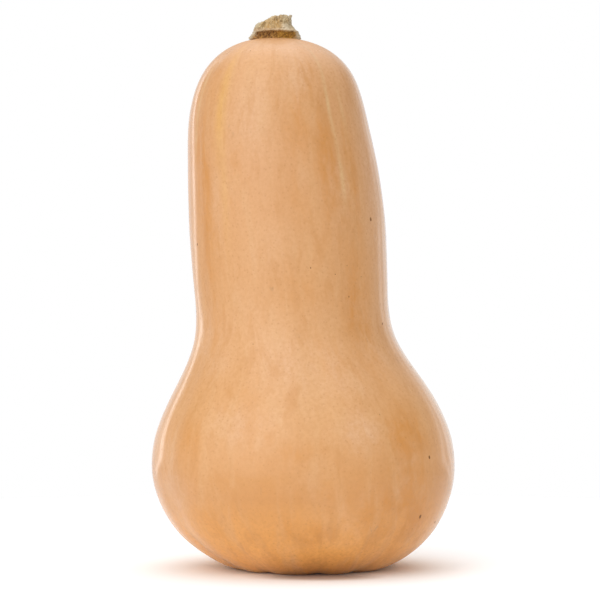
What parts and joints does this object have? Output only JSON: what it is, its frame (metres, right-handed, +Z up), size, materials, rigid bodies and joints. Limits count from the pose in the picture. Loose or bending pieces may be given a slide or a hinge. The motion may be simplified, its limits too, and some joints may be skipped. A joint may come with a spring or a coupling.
{
  "type": "butternut squash",
  "caption": "Whole butternut squash standing on its blossom end: round bulb, long leaning neck with shallow ribs, smooth tan skin and a dry torn stem stub.",
  "frame": {"origin": "on the surface that the squash stands on, under the middle of its bulb", "axes": "+Z up along the squash from the blossom end to the stem, -Y towards its front, +X to its right, the side that the head leans away from"},
  "size_m": [0.1433, 0.1397, 0.2623],
  "materials": {
    "squash_skin": "satin",
    "stem_bark": "matte"
  },
  "bodies": {
    "root": {"fruit": "squash_skin", "stem": "stem_bark"}
  },
  "joints": []
}
